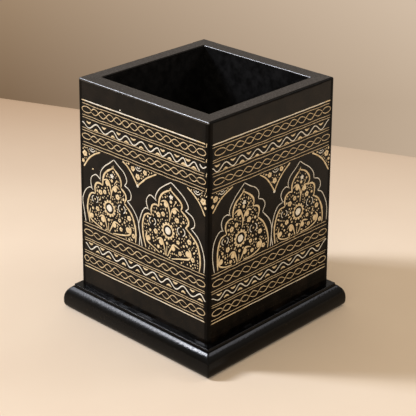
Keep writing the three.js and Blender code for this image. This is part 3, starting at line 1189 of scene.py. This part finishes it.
def spandrel(gold, cream, panel):
    """A panel between arches: gold borders, blossoms, a cream crescent and dots."""
    outline = []
    for border in panel["borders"]:
        gold.stroke(border, 0.75, tremor=0.1)
        outline.extend(smooth_line(border, 0.6))
    if "corner" in panel:
        outline.append(panel["corner"])
    else:
        cream.spot(*panel["borders"][0][-1], 0.7)
    for flower_head in panel["blossoms"]:
        blossom(gold, *flower_head)
    u, v = panel["crescent"]
    cream.stroke(arc((u, v + 0.9), (1.75, 1.6), 200, 340, 12), 0.45, 0.25)
    cream.stroke(arc((u, v + 0.95), (0.8, 0.7), 190, 350, 8), 0.4, 0.2)
    taken = [*panel["blossoms"], (u, v, 1.3)]
    scatter(gold, outline, taken, *SPANDREL_DOTS)


def ornament(side, turns, design):
    """Everything painted on one face, in gold and cream."""
    fullness = design["fullness"]
    gold = Brush("gold", side, turns, [gold_paint, thin_gold_paint], GOLD_LIFT, fullness["gold"])
    cream = Brush("cream", side, turns, [cream_paint], CREAM_LIFT, fullness["cream"])
    bands(gold, cream, design)
    for shape in design["arches"]:
        arch(gold, cream, shape)
    for panel in design["spandrels"]:
        spandrel(gold, cream, panel)
    if design is FRONT:
        for low, high in RULE_TICKS:
            gold.stroke([(FACE_WIDTH - 1.2, low), (FACE_WIDTH - 0.9, high)], 0.4)
        cream.stroke(WAVE_CURL, 0, 0.25)
        cream.spot(*STRAY_CREAM, stretch=1.5, lean=0.6)
        gold.spot(*STRAY_GOLD, stretch=1.5, lean=0.4)
    gold.finish()
    cream.finish()


# The back and the left face repeat the designs of the two that the photograph shows
for turns, side in enumerate(SIDES):
    ornament(side, turns, (FRONT, RIGHT)[turns % 2])


# Stage, light and camera

# The room's colours by height: minus one is straight down, one is straight up
ROOM_LIGHT = (
    (-1.0, (0.30, 0.24, 0.18)),
    (0.0, (0.42, 0.34, 0.26)),
    (0.20, (0.49, 0.42, 0.345)),
    (0.44, (0.72, 0.66, 0.59)),
    (0.65, (0.42, 0.335, 0.24)),
    (1.0, (0.93, 0.71, 0.49)),
)
# The backdrop's colours, left then right, at the top of the photograph and lower down
BACKDROP_HIGH = ((0.34, 0.235, 0.148), (0.64, 0.505, 0.38))
BACKDROP_LOW = ((0.205, 0.132, 0.077), (0.52, 0.40, 0.29))
TABLE_TURN = 23.1
# The table top: how far it reaches from the object's middle, away, toward the camera and sideways
TABLE_FAR, TABLE_NEAR, TABLE_SIDE = 203, 560, 700
TABLE_DEPTH = 40
TABLE_BEVEL = 14


def camera_axes():
    """The photograph's camera directions: right, up and back."""
    azimuth, elevation, roll = (radians(a) for a in (CAMERA_AZIMUTH, CAMERA_ELEVATION, CAMERA_ROLL))
    back = Vector((sin(azimuth) * cos(elevation), -cos(azimuth) * cos(elevation), sin(elevation)))
    right = Vector((cos(azimuth), sin(azimuth), 0))
    up = back.cross(right)
    return cos(roll) * right + sin(roll) * up, cos(roll) * up - sin(roll) * right, back


def add_camera():
    right, up, back = camera_axes()
    spot = Vector((0, 0, AIM_HEIGHT)) - AIM_RIGHT * right - AIM_UP * up + CAMERA_DISTANCE * back
    data = bpy.data.cameras.new("camera")
    data.lens = CAMERA_LENS
    data.sensor_width = CAMERA_SENSOR
    data.clip_start = 0.02
    data.clip_end = 20
    camera = new_object("camera", data)
    camera.matrix_world = Matrix.Translation(spot * MM) @ Matrix((right, up, back)).transposed().to_4x4()
    bpy.context.scene.camera = camera


def add_softbox(name, direction, distance, size, power, colour):
    """A rectangular area light that faces the middle of the object."""
    data = bpy.data.lights.new(name, "AREA")
    data.shape = "RECTANGLE"
    data.size, data.size_y = size
    data.energy = power
    data.color = colour
    light = new_object(name, data)
    middle = Vector((0, 0, 0.05))
    light.location = middle + Vector(direction).normalized() * distance
    light.rotation_euler = (light.location - middle).to_track_quat("Z", "Y").to_euler()
    light.visible_camera = False


def add_world():
    """Warm room light, brightest overhead, and a plain backdrop that grows lighter to the right."""
    world = bpy.data.worlds.new("studio")
    bpy.context.scene.world = world
    world.use_nodes = True
    tree = world.node_tree
    where = add_node(tree, "TexCoord").outputs["Generated"]
    height = add_node(tree, "SeparateXYZ", Vector=where).outputs["Z"]
    ramp = add_node(tree, "ValToRGB", Fac=ranged(height, 0, 1, -1, 1))
    while len(ramp.color_ramp.elements) < len(ROOM_LIGHT):
        ramp.color_ramp.elements.new(0.5)
    for element, (level, colour) in zip(ramp.color_ramp.elements, ROOM_LIGHT):
        element.position = 0.5 + 0.5 * level
        element.color = (*colour, 1.0)
    rightward = ranged(distance_along(where, camera_axes()[0]), 0, 1, -0.15, 0.15)
    upward = ranged(height, 0, 1, -0.34, -0.27)
    low, high = [blended(rightward, *colours) for colours in (BACKDROP_LOW, BACKDROP_HIGH)]
    above = ranged(height, 0, 1, -0.1, 0.1)
    room = blended(above, blended(upward, low, high), ramp.outputs["Color"])
    put(room, tree.nodes["Background"].inputs["Color"])


def painted_falloff_stage_material():
    """A pale matt colour, darkened toward the table's far edge as painted shade for the light falling off
    there.
    """
    material, tree = blank_material("stage")
    cloud = ranged(noise_field(tree, 60, 3.0), 0, 1)
    pale = blended(cloud, (0.765, 0.66, 0.53), (0.795, 0.695, 0.56))
    where = add_node(tree, "TexCoord").outputs["Object"]
    turn = radians(CAMERA_AZIMUTH)
    # Painted shade: the colour darkens toward the table's far edge, where the light falls off
    far = ranged(distance_along(where, (-sin(turn), cos(turn), 0)), 0, 1, 0.06, 0.26)
    return finished(
        material,
        Base_Color=blended(far, pale, (0.40, 0.285, 0.185)),
        Roughness=0.7,
        Specular_IOR_Level=0.12,
    )


def add_stage():
    """A plain pale table top, turned so that its far edge lies where the photograph's does."""
    turned = Matrix.Rotation(radians(TABLE_TURN), 4, "Z")
    placed = Matrix.Translation((0, (TABLE_FAR - TABLE_NEAR) / 2, -TABLE_DEPTH / 2))
    sized = Matrix.Diagonal((2 * TABLE_SIDE, TABLE_FAR + TABLE_NEAR, TABLE_DEPTH, 1))
    work = bmesh.new()
    bmesh.ops.create_cube(work, size=1, matrix=Matrix.Scale(MM, 4) @ turned @ placed @ sized)
    bmesh.ops.bevel(
        work, geom=work.edges[:], offset=TABLE_BEVEL * MM, segments=6, affect="EDGES", profile=0.5
    )
    mesh = bpy.data.meshes.new("table_top")
    work.to_mesh(mesh)
    work.free()
    mesh.materials.append(painted_falloff_stage_material())
    new_object("table_top", mesh)


add_camera()
add_world()
add_stage()
add_softbox("key", (-0.60, -0.468, 0.647), 2.2, (0.36, 0.66), 34.0, (0.78, 0.84, 1.0))
add_softbox("key_core", (-0.62, -0.495, 0.60), 2.19, (0.13, 0.2), 10.5, (1.0, 0.95, 0.90))
add_softbox("fill", (0.3, -0.8, 0.5), 1.1, (0.8, 0.6), 1.0, (1.0, 0.86, 0.70))
add_softbox("window", (0.43, 0.66, 0.61), 1.2, (0.45, 0.22), 1.7, (0.92, 0.92, 1.0))
bpy.context.scene.view_settings.view_transform = "Standard"
